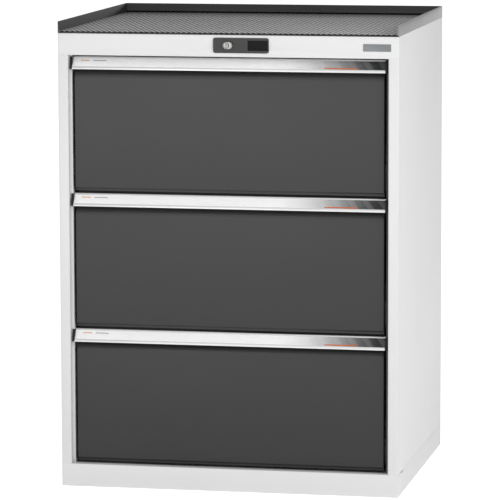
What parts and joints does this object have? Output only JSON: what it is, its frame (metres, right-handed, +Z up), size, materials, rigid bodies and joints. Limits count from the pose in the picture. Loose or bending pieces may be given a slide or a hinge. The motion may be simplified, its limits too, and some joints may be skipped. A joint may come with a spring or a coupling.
{
  "type": "tool cabinet",
  "caption": "Steel tool cabinet with deep drawers on full-extension roller slides, grip handles, a central lock and a rubber-matted tray on top.",
  "frame": {"origin": "on the floor, in the middle of the outline, lock included", "axes": "+Z up, +Y from the drawers' fronts to the back, +X to the right seen from the front"},
  "size_m": [0.75, 0.646, 1.026],
  "materials": {
    "light_paint": "satin powder coat",
    "dark_paint": "satin powder coat",
    "grey_paint": "satin powder coat",
    "zinc_steel": "zinc plated",
    "handle_aluminium": "satin anodised",
    "black_plastic": "fine texture",
    "label_card": "smooth card",
    "clear_plastic": "clear",
    "roller_plastic": "smooth",
    "grey_plate": "satin",
    "nickel": "polished nickel",
    "rubber": "ribbed, matte"
  },
  "bodies": {
    "cabinet": {"back_panel": "light_paint", "base_frame": "light_paint", "cabinet_rail_1_left": "zinc_steel", "cabinet_rail_1_right": "zinc_steel", "cabinet_rail_2_left": "zinc_steel", "cabinet_rail_2_right": "zinc_steel", "cabinet_rail_3_left": "zinc_steel", "cabinet_rail_3_right": "zinc_steel", "floor_panel": "light_paint", "front_fascia": "light_paint", "lock_guides": "black_plastic", "lock_housing": "nickel", "lock_nut": "nickel", "lock_plate": "grey_plate", "rail_posts": "zinc_steel", "rubber_mat": "rubber", "side_panel_left": "light_paint", "side_panel_right": "light_paint", "top_panel": "light_paint", "tray": "dark_paint"},
    "barrel": {"lock_barrel": "nickel"},
    "carriages_1": {"slide_carriage_1_left": "zinc_steel", "slide_carriage_1_right": "zinc_steel", "slide_rollers_1": "roller_plastic"},
    "carriages_2": {"slide_carriage_2_left": "zinc_steel", "slide_carriage_2_right": "zinc_steel", "slide_rollers_2": "roller_plastic"},
    "carriages_3": {"slide_carriage_3_left": "zinc_steel", "slide_carriage_3_right": "zinc_steel", "slide_rollers_3": "roller_plastic"},
    "cross_bar": {"lock_cross_bar": "zinc_steel"},
    "drawer_1": {"drawer_front_1": "dark_paint", "drawer_handle_1": "handle_aluminium", "drawer_rail_1_left": "zinc_steel", "drawer_rail_1_right": "zinc_steel", "drawer_tub_1": "grey_paint", "handle_caps_1": "black_plastic", "label_cover_1": "clear_plastic", "label_strip_1": "label_card", "lock_catch_1": "zinc_steel"},
    "drawer_2": {"drawer_front_2": "dark_paint", "drawer_handle_2": "handle_aluminium", "drawer_rail_2_left": "zinc_steel", "drawer_rail_2_right": "zinc_steel", "drawer_tub_2": "grey_paint", "handle_caps_2": "black_plastic", "label_cover_2": "clear_plastic", "label_strip_2": "label_card", "lock_catch_2": "zinc_steel"},
    "drawer_3": {"drawer_front_3": "dark_paint", "drawer_handle_3": "handle_aluminium", "drawer_rail_3_left": "zinc_steel", "drawer_rail_3_right": "zinc_steel", "drawer_tub_3": "grey_paint", "handle_caps_3": "black_plastic", "label_cover_3": "clear_plastic", "label_strip_3": "label_card", "lock_catch_3": "zinc_steel"},
    "hook_bar": {"lock_bar": "zinc_steel", "lock_hooks": "zinc_steel"}
  },
  "joints": [
    {"name": "drawer_1_slide", "type": "slide", "parent": "cabinet", "child": "drawer_1", "axis": [0, -1, 0], "range_m": [0, 0.58]},
    {"name": "carriages_1_slide", "type": "slide", "parent": "cabinet", "child": "carriages_1", "axis": [0, -1, 0], "range_m": [0, 0.29]},
    {"name": "drawer_2_slide", "type": "slide", "parent": "cabinet", "child": "drawer_2", "axis": [0, -1, 0], "range_m": [0, 0.58]},
    {"name": "carriages_2_slide", "type": "slide", "parent": "cabinet", "child": "carriages_2", "axis": [0, -1, 0], "range_m": [0, 0.29]},
    {"name": "drawer_3_slide", "type": "slide", "parent": "cabinet", "child": "drawer_3", "axis": [0, -1, 0], "range_m": [0, 0.58]},
    {"name": "carriages_3_slide", "type": "slide", "parent": "cabinet", "child": "carriages_3", "axis": [0, -1, 0], "range_m": [0, 0.29]},
    {"name": "lock_turn", "type": "hinge", "parent": "cabinet", "child": "barrel", "pos_m": [0, -0.309, 0.978], "axis": [0, 1, 0], "range_deg": [0, 90]},
    {"name": "cross_bar_slide", "type": "slide", "parent": "cabinet", "child": "cross_bar", "axis": [-1, 0, 0], "range_m": [0, 0.0142]},
    {"name": "hook_bar_slide", "type": "slide", "parent": "cabinet", "child": "hook_bar", "axis": [0, 0, 1], "range_m": [0, 0.01414]}
  ],
  "couplings": [
    {"joint": "carriages_1_slide", "follows": "drawer_1_slide", "ratio": 0.5},
    {"joint": "carriages_2_slide", "follows": "drawer_2_slide", "ratio": 0.5},
    {"joint": "carriages_3_slide", "follows": "drawer_3_slide", "ratio": 0.5},
    {"joint": "lock_turn", "follows": "hook_bar_slide", "rad_per_m": 111.07},
    {"joint": "cross_bar_slide", "follows": "hook_bar_slide", "ratio": 1}
  ]
}
